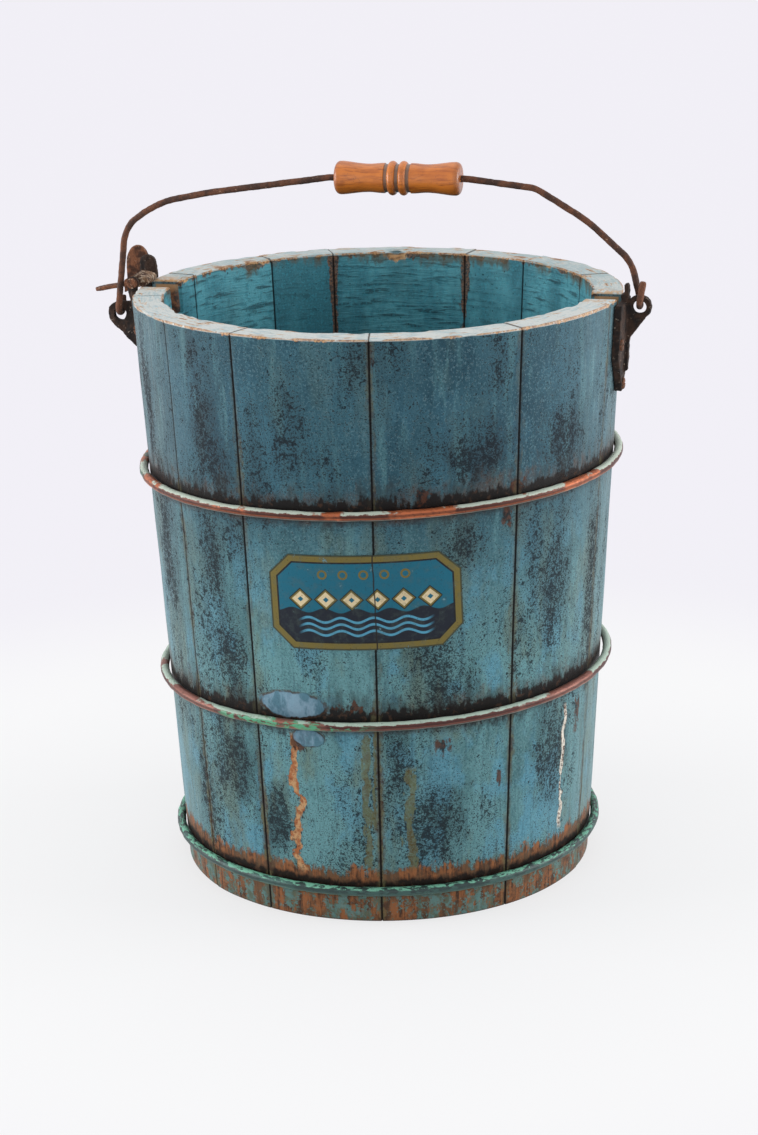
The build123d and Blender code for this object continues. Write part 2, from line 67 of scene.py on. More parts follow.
def colour(red, green, blue):
    # screen values 0-255 to the linear colour that a shader wants
    def linear(value):
        value /= 255
        return value / 12.92 if value < 0.04045 else ((value + 0.055) / 1.055) ** 2.4
    return (linear(red), linear(green), linear(blue), 1)


class Wire:
    def __init__(self, tree, socket=None):
        self.tree = tree
        self.socket = socket

    def node(self, kind, settings=None, inputs=None, output=0):
        made = self.tree.nodes.new(kind)
        for name, value in (settings or {}).items():
            setattr(made, name, value)
        for name, value in (inputs or {}).items():
            if isinstance(value, Wire):
                self.tree.links.new(value.socket, made.inputs[name])
            else:
                made.inputs[name].default_value = value
        return Wire(self.tree, made.outputs[output])

    def maths(self, operation, first, second=0.0, third=0.0):
        return self.node("ShaderNodeMath", {"operation": operation}, {0: first, 1: second, 2: third})

    def __add__(self, other):
        return self.maths("ADD", self, other)

    def __radd__(self, other):
        return self.maths("ADD", other, self)

    def __sub__(self, other):
        return self.maths("SUBTRACT", self, other)

    def __rsub__(self, other):
        return self.maths("SUBTRACT", other, self)

    def __mul__(self, other):
        return self.maths("MULTIPLY", self, other)

    def __rmul__(self, other):
        return self.maths("MULTIPLY", other, self)

    def __truediv__(self, other):
        return self.maths("DIVIDE", self, other)

    def __abs__(self):
        return self.maths("ABSOLUTE", self)

    def least(self, other):
        return self.maths("MINIMUM", self, other)

    def most(self, other):
        return self.maths("MAXIMUM", self, other)

    def above(self, limit):
        return self.maths("GREATER_THAN", self, limit)

    def fade(self, low, high):
        # 0 at low, 1 at high, smooth between; high may be the smaller
        return self.node(
            "ShaderNodeMapRange",
            {"interpolation_type": "SMOOTHSTEP", "clamp": True},
            {"Value": self, "From Min": low, "From Max": high},
        )

    def length(self, other):
        return self.maths("SQRT", self * self + other * other)

    def azimuth(self, y):
        # self is x
        return self.maths("ARCTAN2", self, 0 - y) * (180 / math.pi)

    def scaled(self, x, y, z):
        return self.node("ShaderNodeVectorMath", {"operation": "MULTIPLY"}, {0: self, 1: (x, y, z)})

    def moved(self, x, y, z):
        return self.node("ShaderNodeVectorMath", {"operation": "ADD"}, {0: self, 1: (x, y, z)})

    def part(self, index):
        return self.node("ShaderNodeSeparateXYZ", None, {0: self}, index)

    def joined(self, x, y, z):
        return self.node("ShaderNodeCombineXYZ", None, {0: x, 1: y, 2: z})

    def cloud(self, size, detail=3.0, rough=0.5, distort=0.0):
        # noise of that feature size, about 0.25 to 0.75
        return self.node(
            "ShaderNodeTexNoise",
            None,
            {"Vector": self, "Scale": 1 / size, "Detail": detail, "Roughness": rough, "Distortion": distort},
        )

    def blend(self, base, top):
        # self is the share of top; 6, 7 and 2 are the mix node's colour sockets
        return self.node(
            "ShaderNodeMix", {"data_type": "RGBA", "clamp_factor": True}, {0: self, 6: base, 7: top}, 2
        )


def newMaterial(name, specular=0.5, coatRoughness=0.2):
    material = bpy.data.materials.new(name)
    material.use_nodes = True
    shader = material.node_tree.nodes["Principled BSDF"]
    shader.inputs["Specular IOR Level"].default_value = specular
    shader.inputs["Coat Roughness"].default_value = coatRoughness
    return material, shader, Wire(material.node_tree)


shaderSockets = {"base": "Base Color", "rough": "Roughness", "metal": "Metallic", "normal": "Normal",
                 "coat": "Coat Weight"}


def feed(material, shader, **wires):
    for name, value in wires.items():
        socket = shader.inputs[shaderSockets[name]]
        if isinstance(value, Wire):
            material.node_tree.links.new(value.socket, socket)
        else:
            socket.default_value = value


def bumped(tree, height, depth, strength=1.0, under=None):
    # height 0 to 1 stands depth millimetres proud
    inputs = {"Strength": strength, "Distance": depth / 1000, "Height": height}
    if under:
        inputs["Normal"] = under
    return tree.node("ShaderNodeBump", None, inputs)


def millimetres(tree):
    place = tree.node("ShaderNodeTexCoord", output="Object")
    return place.scaled(1000, 1000, 1000)


# height, slack and shift in millimetres, rise in metres per metre towards riseDirection
hoopLines = {
    "hoop_upper": {"height": 258.0, "rise": 0.024, "slack": 0.55, "shift": 0.0},
    "hoop_middle": {"height": 128.7, "rise": 0.028, "slack": 1.1, "shift": 0.5},
    "hoop_lower": {"height": 21.2, "rise": 0.0, "slack": 0.3, "shift": 0.0},
}
riseDirection = outward(104.5)

paint = {
    "upperDeep": colour(30, 66, 80),
    "upperMain": colour(49, 92, 106),
    "lowerDeep": colour(70, 110, 114),
    "lowerMain": colour(102, 150, 155),
    "blue": colour(84, 146, 172),
    "olive": colour(98, 106, 78),
    "insideDeep": colour(58, 118, 132),
    "inside": colour(94, 166, 180),
    "mildew": colour(12, 18, 25),
    "grime": colour(14, 9, 7),
    "brown": colour(62, 42, 30),
    "bareWood": colour(136, 86, 52),
    "paleWood": colour(206, 162, 114),
    "rimWhite": colour(212, 217, 214),
    "rimBlue": colour(176, 196, 200),
    "rust": colour(74, 42, 26),
    "tan": colour(178, 140, 100),
    "chalk": colour(214, 208, 196),
    "weathered": colour(150, 166, 164),
    # pale paint for the painted sheen on the sides and the back
    "sideSheen": colour(122, 152, 158),
    # where the mildew is thick: azimuth, height, half width, half height
    "mildewSpots": [
        (330, 300, 10, 46), (333, 278, 13, 20), (303, 310, 9, 50), (307, 215, 14, 60), (329, 215, 9, 34),
        (333, 165, 12, 34), (330, 92, 22, 32), (344, 62, 14, 20), (318, 66, 9, 40), (37, 290, 22, 18),
        (33, 236, 12, 14), (28, 158, 20, 30), (17, 100, 10, 24), (24, 62, 24, 30), (60, 200, 16, 50),
        (62, 290, 18, 26), (63, 92, 16, 34), (78, 190, 10, 60), (120, 220, 26, 70), (150, 90, 22, 40),
        (205, 180, 30, 60), (238, 110, 22, 50), (262, 220, 20, 60),
    ],
    # runs down the paint: azimuth, top, bottom, half width, sway
    "tanRun": (350.6, 119, 30, 2.3, 3.6),
    "oliveRuns": [(9.3, 122, 34, 2.4, 1.2), (11.2, 122, 60, 0.8, 1.6), (20.2, 100, 34, 2.8, 2.0)],
    "chalkRun": (67.4, 119, 38, 1.5, 1.4),
    # rust where something iron lay: azimuth, height, half width, half height
    "rustSpots": [(44.9, 250, 2.8, 6.0), (28.5, 112, 4.0, 4.0), (44.2, 88, 1.5, 4.5), (352.5, 114, 5, 5),
                  (74, 110, 3, 9), (6, 139, 6, 2.5), (47, 268, 5, 3), (23.5, 268, 3, 4)],
}
# paint that stands off the wood: azimuth, height, half width, half height, millimetres proud
blisters = [(350.5, 138, 21, 8.5, 1.1), (354.5, 118, 10, 5.5, 0.7)]


stave = {
    "row": 0.006, "edge": 0.0007, "wobble": 0.0003, "step": 0.0011, "knock": 0.0012,
    # the mesh's rows below the rim, and its lines across the rim and the foot, as depths in the wall
    "rimRows": (0.0085, 0.006, 0.004, 0.0025, 0.0012, 0),
    "rimLines": (0.0012, 0.003, 0.006, 0.0095, 0.013, 0.016, 0.0178),
    "footLines": (0.014, 0.0095, 0.005),
    # which depths count as the outer and the inner wall, and how far below the rim each wear reaches
    "outerSkin": 0.004, "innerSkin": 0.015, "waveZone": 0.009, "knockZone": 0.0022,
    "chipZone": 0.007, "chipDepth": 0.011,
    "notchWidth": 0.021, "notchDepth": 0.020, "notchLength": 0.06, "notchInset": 0.012,
    "flare": 1.2, "flareDepth": 0.001,
    "drainRadius": 0.007, "drainLength": 0.08, "drainAzimuth": 188, "drainHeight": 0.235,
    # breaks in the rim's inner edge: azimuth, half width, depth
    "chips": [(189.2, 0.0075, 0.0042), (138.0, 0.004, 0.0016), (228.0, 0.005, 0.0018), (262.0, 0.004, 0.002)],
    # seams that stand open inside, as places in seams
    "openSeams": (5, 6),
}


class Wall:
    # where a point of a stave lies, with the noises that the layers of paint share
    def __init__(self, tree):
        p = millimetres(tree)
        self.tree = tree
        self.p = p
        self.x, self.y, self.z = p.part(0), p.part(1), p.part(2)
        self.radius = self.x.length(self.y)
        self.angle = self.x.azimuth(self.y)
        taper = (tub["rimRadius"] - tub["footRadius"]) / tub["height"]
        self.depth = (self.z * taper + tub["footRadius"] * 1000) - self.radius
        gaps = [abs(self.across(seam)) for seam in seams]
        self.seamGap = gaps[0]
        for gap in gaps[1:]:
            self.seamGap = self.seamGap.least(gap)
        # each stave has its own tone; the one at the back holds both ends of the angle
        passed = self.angle.above(self.signed(seams[0]))
        for seam in seams[1:]:
            passed = passed + self.angle.above(self.signed(seam))
        number = tree.maths("FLOOR", tree.maths("MODULO", passed + 0.25, len(seams)))
        self.tone = tree.node("ShaderNodeTexWhiteNoise", {"noise_dimensions": "1D"}, {"W": number})
        self.broad = p.scaled(1, 1, 0.42).cloud(34, 4, 0.6)
        self.patchy = p.scaled(1, 1, 0.5).cloud(11, 4, 0.65)
        self.mottle = p.cloud(4.2, 4, 0.62, 0.3)
        self.fine = p.cloud(1.5, 3, 0.68)
        self.grit = p.moved(3, 60, 8).cloud(0.9, 2, 0.6)
        self.ragged = p.scaled(1, 1, 0.3).cloud(3.2, 4, 0.65)
        self.streak = p.scaled(1, 1, 0.06).cloud(2.2, 4, 0.6)
        self.streakWide = p.scaled(1, 1, 0.10).cloud(9, 3, 0.55)
        # millimetres by which the edges of dirt and paint are ragged
        self.fray = (self.ragged - 0.5) * 18 + (self.streak - 0.5) * 6 + (self.mottle - 0.5) * 10
        self.fray = self.fray + (self.patchy - 0.5) * 16 + (self.broad - 0.5) * 14

    def signed(self, azimuth):
        return azimuth if azimuth <= 180 else azimuth - 360

    def across(self, azimuth):
        return (self.angle - self.signed(azimuth)) * (math.pi / 180) * self.radius

    def hoopGap(self, name):
        # millimetres above the hoop's middle line
        line = hoopLines[name]
        tilt = self.x * riseDirection.x + self.y * riseDirection.y
        return self.z - (tilt * line["rise"] + line["height"])

    def reach(self, azimuth, height, halfWidth, halfHeight):
        # 0 in the middle of that ellipse, 1 on its edge
        u = self.across(azimuth) / halfWidth
        v = (self.z - height) / halfHeight
        return u.length(v)

    def run(self, azimuth, top, bottom, halfWidth, sway):
        # 1 within a run of water down the wall
        line = self.tree.joined(azimuth, 0, self.z).cloud(24, 3, 0.7)
        off = abs(self.across(azimuth) + (line - 0.5) * (7 * sway)) + (self.ragged - 0.5) * (halfWidth * 5)
        ends = self.z.fade(bottom - 2, bottom + 4) * self.z.fade(top + 2, top - 2)
        return off.fade(halfWidth * 1.2, halfWidth * 0.75) * ends


def mildewed(wall, shade):
    # black specks that crowd into blots
    crowd = wall.broad.fade(0.40, 0.68) * 0.75
    for place in paint["mildewSpots"]:
        reach = wall.reach(*place) + (wall.patchy - 0.5) * 3.0 + (wall.mottle - 0.5) * 1.2
        crowd = crowd.most(reach.fade(1.75, 0.25))
    specks = (wall.fine - (0.64 - crowd * 0.15)).fade(0, 0.05)
    peppered = wall.patchy.fade(0.4, 0.6) * 0.05 + crowd * 0.1
    specks = specks.most((wall.grit - (0.64 - peppered)).fade(0, 0.05) * 0.8)
    blots = (wall.mottle - (0.69 - crowd * 0.20)).fade(0, 0.05) * (wall.grit.fade(0.36, 0.5) * 0.55 + 0.45)
    shade = (crowd * 0.36).blend(shade, colour(46, 62, 70))
    specks = specks.most(blots)
    return (specks * 0.9).blend(shade, paint["mildew"]), specks


def ironMarks(wall, shade):
    # runs, rust spots and blisters
    mottle = wall.mottle
    olive = mottle.fade(0.4, 0.6).blend(colour(86, 76, 40), paint["olive"])
    for place in paint["oliveRuns"]:
        shade = (wall.run(*place) * 0.75).blend(shade, olive)
    tanRun = wall.run(*paint["tanRun"])
    tan = mottle.fade(0.42, 0.58).blend(paint["tan"], colour(152, 92, 56))
    tan = (wall.fine.fade(0.52, 0.64) * 0.7).blend(tan, colour(104, 62, 40))
    shade = tanRun.blend(shade, tan)
    chalkRun = wall.run(*paint["chalkRun"])
    chalk = (wall.streak + (wall.fine - 0.5)).fade(0.42, 0.55).blend(paint["rust"], paint["chalk"])
    shade = chalkRun.blend(shade, chalk)
    rust = mottle.fade(0.42, 0.6).blend(paint["rust"], paint["grime"])
    for place in paint["rustSpots"]:
        spot = (wall.reach(*place) + (wall.ragged - 0.5) * 4 + (mottle - 0.5) * 3).fade(1.3, 0.7)
        shade = (spot * 0.9).blend(shade, rust)
    # pale lifted paint on the blisters, partly a painted highlight
    liftedPaintAndSheen = wall.patchy.fade(0.44, 0.6).blend(colour(74, 112, 130), colour(122, 152, 172))
    swollen = None
    for azimuth, height, halfWidth, halfHeight, proud in blisters:
        reach = wall.reach(azimuth, height, halfWidth, halfHeight) + (wall.patchy - 0.5) * 0.9
        here = reach.fade(1.05, 0.93)
        # a painted shadow round each blister's edge
        edge = abs(reach - 1.03).fade(0.11, 0.03)
        shade = (here * 0.8).blend(shade, liftedPaintAndSheen)
        shade = (edge * wall.patchy.fade(0.42, 0.52) * 0.7).blend(shade, paint["brown"])
        swollen = here if swollen is None else swollen.most(here)
    return shade, swollen + tanRun * (-0.6) + chalkRun * (-0.6)


def hoopBands(wall, shade):
    # black-brown dirt where water stands on the hoops, with painted shade of the gap behind the wire, and
    # bare wood at the foot
    dirtAndShade = wall.mottle.fade(0.52, 0.70).blend(paint["grime"], paint["brown"])
    haloShade = wall.patchy.fade(0.44, 0.6).blend(colour(40, 44, 44), colour(84, 58, 40))
    for name, lower in (("hoop_upper", 0.6), ("hoop_middle", 0.85)):
        gap = wall.hoopGap(name)
        halo = (gap + wall.fray * 1.7).fade(22, 6) * gap.fade(-9, -3)
        shade = (halo * 0.62).blend(shade, haloShade)
        # the band just above the hoop: dirt and painted shade
        band = (gap + wall.fray * 0.75).fade(10.0, 6.6) * gap.fade(-5, -2)
        shade = (band * 0.98).blend(shade, dirtAndShade)
        under = (0 - gap + wall.fray * 1.3).fade(12, 4) * gap.fade(2, -2) * wall.patchy.fade(0.42, 0.58)
        shade = (under * lower).blend(shade, paint["mildew"])
    gap = wall.hoopGap("hoop_lower")
    wood = (wall.streak * 0.6 + wall.mottle * 0.4).fade(0.42, 0.6).blend(paint["bareWood"], paint["brown"])
    wood = (wall.patchy.fade(0.44, 0.58) * 0.75).blend(wood, colour(86, 66, 48))
    bare = (gap + wall.fray * 0.9).fade(15, 11)
    shade = bare.blend(shade, wood)
    flakes = wall.p.scaled(1, 1, 0.55).cloud(8, 4, 0.6) + (wall.fine - 0.5) * 0.6
    left = flakes.fade(0.47, 0.55) * gap.fade(0, -3)
    leftShade = wall.mottle.fade(0.4, 0.6).blend(colour(72, 96, 84), colour(88, 130, 128))
    shade = (left * 0.8).blend(shade, leftShade)
    # a black line just above the lower hoop: dirt and painted shade
    line = (gap + wall.fray * 0.4).fade(8.0, 4.6) * gap.fade(-6, -2)
    return (line * 0.97).blend(shade, dirtAndShade), bare


def outsidePaint(wall):
    p, z = wall.p, wall.z
    base = (wall.broad + (wall.tone - 0.5) * 0.18).fade(0.38, 0.64)
    low = (z + (wall.broad - 0.5) * 120).fade(285, 150)
    upper = base.blend(paint["upperDeep"], paint["upperMain"])
    lower = base.blend(paint["lowerDeep"], paint["lowerMain"])
    shade = low.blend(upper, lower)
    blue = p.scaled(1, 1, 0.55).moved(70, 10, 0).cloud(28, 4, 0.6).fade(0.5, 0.6) * (low * 0.4 + 0.1)
    shade = blue.blend(shade, paint["blue"])
    veil = p.scaled(1, 1, 0.35).moved(9, 40, 7).cloud(22, 4, 0.6).fade(0.49, 0.64) * (low * 0.4 + 0.15)
    shade = veil.blend(shade, paint["olive"])
    shade = (wall.streakWide.fade(0.52, 0.68) * 0.3).blend(shade, paint["lowerMain"])
    shade = (wall.streak.fade(0.5, 0.68) * 0.4).blend(shade, paint["upperDeep"])
    shade = (wall.fine.fade(0.52, 0.64) * 0.3).blend(shade, colour(126, 164, 174))
    shade = (wall.fine.fade(0.48, 0.36) * 0.4).blend(shade, paint["upperDeep"])
    # the sides and the back have stood in the weather and are streaked; their paler paint is painted sheen
    worn = abs(wall.angle - tub["facing"]).fade(40, 78)
    # painted sheen: paler paint towards the sides and the back
    shade = (worn * 0.4).blend(shade, paint["sideSheen"])
    tall = p.scaled(1, 1, 0.03).cloud(2.4, 4, 0.65)
    shade = (tall.fade(0.54, 0.66) * worn * 0.34).blend(shade, paint["weathered"])
    shade = (tall.fade(0.46, 0.37) * worn * 0.5).blend(shade, colour(72, 66, 54))
    shade, specks = mildewed(wall, shade)
    shade, bare = hoopBands(wall, shade)
    shade, relief = ironMarks(wall, shade)
    # seams: a black line with a brown or olive halo that widens downwards
    halo = (wall.seamGap + (wall.ragged - 0.5) * 9).fade(3.6, 0.6)
    halo = halo * (wall.streakWide.fade(0.4, 0.6) * 0.5 + z.fade(190, 20) * 0.4 + 0.1)
    shade = halo.blend(shade, wall.mottle.fade(0.4, 0.6).blend(colour(92, 88, 60), paint["brown"]))
    line = (wall.seamGap + (wall.fine - 0.5) * 0.8).fade(0.95, 0.45)
    shade = (line * 0.93).blend(shade, paint["grime"])
    return shade, specks, relief - bare * 0.5


def insidePaint(wall):
    p, z = wall.p, wall.z
    base = (wall.broad + (wall.tone - 0.5) * 0.24).fade(0.35, 0.62)
    shade = base.blend(paint["insideDeep"], paint["inside"])
    sawMarks = p.scaled(0.12, 0.12, 1).cloud(2.6, 4, 0.6, 0.3)
    sawn = wall.tone.fade(0.45, 0.6) * 0.55 + 0.4
    shade = (sawMarks.fade(0.53, 0.64) * (sawn * 0.7)).blend(shade, paint["mildew"])
    shade = (wall.mottle.fade(0.50, 0.64) * 0.5).blend(shade, paint["insideDeep"])
    shade = (wall.fine.fade(0.48, 0.36) * 0.35).blend(shade, colour(70, 168, 190))
    specks = (wall.fine - (0.64 - wall.broad.fade(0.5, 0.7) * 0.06)).fade(0, 0.05)
    shade = (specks * 0.75).blend(shade, paint["mildew"])
    clouded = p.scaled(1, 1, 0.5).moved(3, 9, 4).cloud(34, 2, 0.5).fade(0.5, 0.7)
    shade = (clouded * 0.3).blend(shade, paint["lowerDeep"])
    wood = wall.fine.fade(0.4, 0.6).blend(colour(128, 84, 52), paint["brown"])
    worn = (z + (wall.ragged - 0.5) * 8 + (wall.patchy - 0.5) * 18).fade(rimTop - 3.2, rimTop - 1.6)
    shade = (worn * 0.85).blend(shade, wood)
    fresh = wall.mottle.fade(0.42, 0.6).blend(paint["paleWood"], paint["bareWood"])
    for azimuth, halfWidth, deep in stave["chips"]:
        reach = wall.reach(azimuth, rimTop, halfWidth * 1000, deep * 1600) + (wall.mottle - 0.5) * 1.4
        shade = reach.fade(1.1, 0.85).blend(shade, fresh)
    stain = (z + (wall.patchy - 0.5) * 26 + (wall.ragged - 0.5) * 12).fade(rimTop - 9, rimTop - 4)
    shade = (stain * wall.broad.fade(0.44, 0.54) * 0.7).blend(shade, colour(92, 82, 62))
    for place in stave["openSeams"]:
        gap = abs(wall.across(seams[place])) + (wall.ragged - 0.5) * 8 + (wall.patchy - 0.5) * 10
        bare = (gap - z.fade(rimTop - 60, rimTop)).fade(2.0, 1.0)
        shade = (bare * 0.85).blend(shade, wood)
    shade = ((wall.seamGap + (wall.fine - 0.5) * 0.6).fade(0.9, 0.4) * 0.85).blend(shade, paint["grime"])
    return (z.fade(120, 36) * 0.5).blend(shade, colour(70, 66, 52)), sawMarks * sawn


def rimPaint(wall):
    p = wall.p
    drag = wall.tree.joined(wall.angle * 0.5, wall.radius, wall.z)  # brushed along the rim
    brushed = drag.cloud(1.5, 3, 0.6) + (p.cloud(14, 3, 0.6) - 0.5) * 0.9
    back = wall.y.fade(-30, 70)
    shade = (brushed + back * 0.12).fade(0.48, 0.72).blend(paint["rimWhite"], paint["rimBlue"])
    shade = (back * 0.3).blend(shade, paint["weathered"])
    shade = (wall.fine.fade(0.56, 0.68) * 0.35).blend(shade, colour(120, 150, 160))
    thin = p.moved(5, 0, 90).cloud(18, 4, 0.65) + (drag.cloud(2.5, 3, 0.6) - 0.5) * 0.8 + back * 0.05
    shade = (thin.fade(0.60, 0.66) * 0.7).blend(shade, paint["paleWood"])
    shade = (thin.fade(0.66, 0.72) * 0.8).blend(shade, colour(128, 84, 52))
    notch = abs(wall.y).fade(30, 12) * abs(wall.x).fade(100, 120)
    shade = (notch * wall.mottle.fade(0.44, 0.56) * 0.8).blend(shade, paint["paleWood"])
    crack = (wall.seamGap + (wall.fine - 0.5) * 0.8).fade(0.7, 0.3)
    return (crack * 0.75).blend(shade, paint["brown"])


def paintedWood():
    material, shader, tree = newMaterial("wornBluePaint", 0.2)
    wall = Wall(tree)
    z, depth = wall.z, wall.depth
    outside, specks, relief = outsidePaint(wall)
    inside, sawn = insidePaint(wall)
    isInside = depth.fade(wallThick - 4.5, wallThick - 2.5)
    shade = z.fade(rimTop - 1.6, rimTop - 0.9).blend(isInside.blend(outside, inside), rimPaint(wall))
    # the arrises are worn to the wood
    arris = depth.fade(1.5, 0.9).most(depth.fade(wallThick - 1.7, wallThick - 0.9))
    arris = arris * (z + (wall.ragged - 0.5) * 5).fade(rimTop - 1.5, rimTop - 1.1)
    arris = arris * z.fade(rimTop - 0.1, rimTop - 0.5) * (wall.patchy + isInside * 0.08).fade(0.47, 0.57)
    outerLine = depth.fade(0.9, 0.5) * z.fade(rimTop - 1.3, rimTop - 0.9) * wall.ragged.fade(0.34, 0.46)
    arris = arris.most(outerLine * 0.9)
    arrisWood = wall.fine.fade(0.4, 0.62).blend(paint["bareWood"], paint["paleWood"])
    shade = (arris * 0.9).blend(shade, arrisWood)
    # faces cut through the wall: the notches, the drain and the staves' sides
    cut = depth.fade(2, 3) * depth.fade(wallThick - 1.5, wallThick - 2.5) * z.fade(rimTop - 2.4, rimTop - 3.2)
    cutWood = wall.mottle.fade(0.4, 0.6).blend(paint["brown"], paint["bareWood"])
    cutWood = (z.fade(rimTop - 9, rimTop - 3) * 0.7).blend(cutWood, paint["paleWood"])
    shade = (cut * 0.9).blend(shade, cutWood)
    shade = (z.fade(1.2, 0.3) * 0.85).blend(shade, paint["brown"])
    roughness = specks * 0.2 + 0.5 + (wall.mottle - 0.5) * 0.3 + isInside * 0.06
    grain = wall.streak * 0.5 + wall.mottle * 0.5 + wall.fine * 0.35 - specks * 0.25
    normal = bumped(tree, grain, 0.35, 0.8)
    normal = bumped(tree, isInside * sawn, 1.2, 0.9, normal)
    normal = bumped(tree, relief, 0.6, 1.0, normal)
    feed(material, shader, base=shade, rough=roughness, normal=normal)
    return material


# finish: (material, base, rust, flecks, share of flecks, size of the rust's patches in millimetres)
ironLooks = {
    "casting": ("rustyCasting", colour(29, 22, 19), colour(60, 42, 32), colour(150, 136, 120), 0.4, 5.0),
    "cam": ("mottledCamIron", colour(74, 52, 40), colour(148, 118, 92), colour(196, 178, 156), 1.2, 4.0),
    "latch": ("wornLatchIron", colour(66, 40, 28), colour(128, 82, 56), colour(196, 168, 142), 0.55, 5.0),
    "screw": ("rustyScrew", colour(70, 56, 46), colour(118, 74, 50), colour(150, 130, 110), 0.2, 2.5),
    "wire": ("rustyWire", colour(70, 50, 42), colour(112, 72, 52), colour(176, 146, 122), 0.3, 9.0),
}


def rustyIron(name, base, rustShade, fleck, fleckShare, size):
    material, shader, tree = newMaterial(name, 0.35)
    p = millimetres(tree)
    patch = p.cloud(size, 4, 0.6)
    grain = p.moved(7, 3, 1).cloud(0.9, 4, 0.65)
    shade = patch.fade(0.4, 0.62).blend(base, rustShade)
    shade = (grain.fade(0.5, 0.68) * 0.5).blend(shade, base)
    flecks = (p.moved(20, 8, 5).cloud(2.4, 4, 0.7) - (0.68 - fleckShare * 0.12)).fade(0, 0.04)
    shade = (flecks * 0.8).blend(shade, fleck)
    normal = bumped(tree, patch * 0.5 + grain * 0.6, 0.5, 0.9)
    feed(material, shader, base=shade, rough=0.78, metal=0.15, normal=normal)
    return material


# top is the pale crest along the wire, a painted highlight on the upper and middle hoops and green patina on
# the lower one; line is the painted dark reflection under it; green lies between two azimuths
hoopLooks = {
    "hoop_upper": {"top": colour(186, 198, 184), "face": colour(92, 50, 38), "bright": colour(178, 100, 62),
                   "line": colour(44, 22, 18), "metal": 0.6,
                   "green": colour(44, 96, 76), "greenFrom": 262, "greenTo": 300},
    "hoop_middle": {"top": colour(172, 192, 178), "face": colour(86, 44, 38), "bright": colour(132, 84, 70),
                    "line": colour(44, 22, 18), "metal": 0.45,
                    "green": colour(66, 158, 118), "greenFrom": 330, "greenTo": 368},
    "hoop_lower": {"top": colour(110, 176, 150), "face": colour(30, 52, 50), "bright": colour(52, 88, 82),
                   "line": colour(30, 52, 50), "metal": 0.15,
                   "green": colour(42, 80, 74), "greenFrom": 0, "greenTo": 360},
}


def hoopFinish(name):
    look = hoopLooks[name]
    line = hoopLines[name]
    material, shader, tree = newMaterial(name + "Corroded", 0.5)
    p = millimetres(tree)
    x, y, z = p.part(0), p.part(1), p.part(2)
    gap = z - ((x * riseDirection.x + y * riseDirection.y) * line["rise"] + line["height"])
    angle = x.azimuth(y)
    rope = tree.joined(angle * 0.8, x.length(y), z)  # drawn out along the wire
    long = p.cloud(52, 2, 0.5)
    patch = p.cloud(9, 4, 0.6)
    grain = p.cloud(1.5, 4, 0.65)
    drawn = rope.cloud(1.6, 4, 0.65)
    stretch = long + (patch - 0.5) * 0.3
    shade = stretch.fade(0.39, 0.45).blend(look["bright"], look["face"])
    # painted highlight: a bright band just below the wire's middle
    shade = (abs(gap + 0.8).fade(0.9, 0.3) * 0.4).blend(shade, look["bright"])
    shade = (drawn.fade(0.5, 0.62) * 0.5).blend(shade, look["face"])
    # a painted highlight on top with a sharp edge (green patina in patches on the lower hoop), a painted dark
    # reflection under it, dirt specks, and painted shade on the underside
    crested = stretch.fade(0.40, 0.43)
    if name == "hoop_lower":
        crested = (drawn * 0.65 + patch * 0.35 + gap * 0.012).fade(0.50, 0.55)
    crest = (gap + (drawn - 0.5) * 3.0).fade(1.3, 1.7) * crested
    # painted dark reflection along the wire's middle
    shade = (abs(gap - 0.2).fade(1.0, 0.5) * 0.6).blend(shade, look["line"])
    # the crest: painted highlight, patina on the lower hoop
    shade = (crest * 0.95).blend(shade, look["top"])
    # painted pale reflection near the bottom of the wire
    shade = (gap.fade(-1.5, -1.9) * gap.fade(-2.6, -2.2) * 0.4).blend(shade, look["top"])
    middle = (look["greenFrom"] + look["greenTo"]) / 2
    middle = middle - 360 if middle > 180 else middle
    half = (look["greenTo"] - look["greenFrom"]) / 2
    zone = abs(angle - middle).fade(half + 6, half - 6)
    green = (drawn * 0.5 + patch * 0.5).fade(0.47, 0.53) * zone * (1 - crest * 0.8)
    shade = (green * 0.85).blend(shade, look["green"])
    shade = ((grain - 0.62).fade(0, 0.05) * 0.7).blend(shade, colour(30, 24, 20))
    # painted shade on the wire's underside
    shade = (gap.fade(-2.2, -2.6) * 0.8).blend(shade, colour(26, 18, 14))
    normal = bumped(tree, drawn * 0.6 + grain * 0.5, 0.4, 0.9)
    metal = (1 - crest.most(green)) * look["metal"]
    feed(material, shader, base=shade, rough=grain * 0.4 + 0.24 + crest * 0.2, metal=metal, normal=normal)
    return material


grip = {"centre": (14.1, 0.55, 427.4), "lightWood": colour(214, 122, 40), "darkWood": colour(150, 74, 24),
        "groove": colour(108, 92, 80)}


def turnedWood():
    material, shader, tree = newMaterial("varnishedGripWood", 0.5, 0.25)
    p = millimetres(tree).moved(*[-c for c in grip["centre"]])
    along = p.part(0)
    side, height = p.part(1), p.part(2)
    radius = side.length(height)
    grain = p.scaled(0.12, 1, 1).cloud(1.6, 4, 0.6, 0.4)
    patch = p.scaled(0.5, 1, 1).cloud(9, 3, 0.6)
    shade = grain.fade(0.42, 0.78).blend(grip["lightWood"], grip["darkWood"])
    shade = (patch.fade(0.45, 0.66) * 0.5).blend(shade, colour(176, 90, 26))
    shade = (abs(along).fade(34, 38.5) * 0.6).blend(shade, colour(92, 50, 26))
    # painted shade on the grip's underside
    shade = (height.fade(-1, -9) * 0.45).blend(shade, colour(96, 54, 30))
    grooves = radius.fade(9.1, 8.5) * abs(along).fade(8.6, 7.4)
    shade = (grooves * 0.85).blend(shade, grip["groove"])
    scratch = (p.scaled(1, 0.3, 0.3).cloud(0.8, 3, 0.7) - 0.64).fade(0, 0.05)
    shade = (scratch * 0.45).blend(shade, colour(70, 40, 24))
    normal = bumped(tree, grain * 0.6 - scratch * 0.3, 0.18, 0.7)
    feed(material, shader, base=shade, rough=patch * 0.3 + 0.24, normal=normal, coat=0.4)
    return material


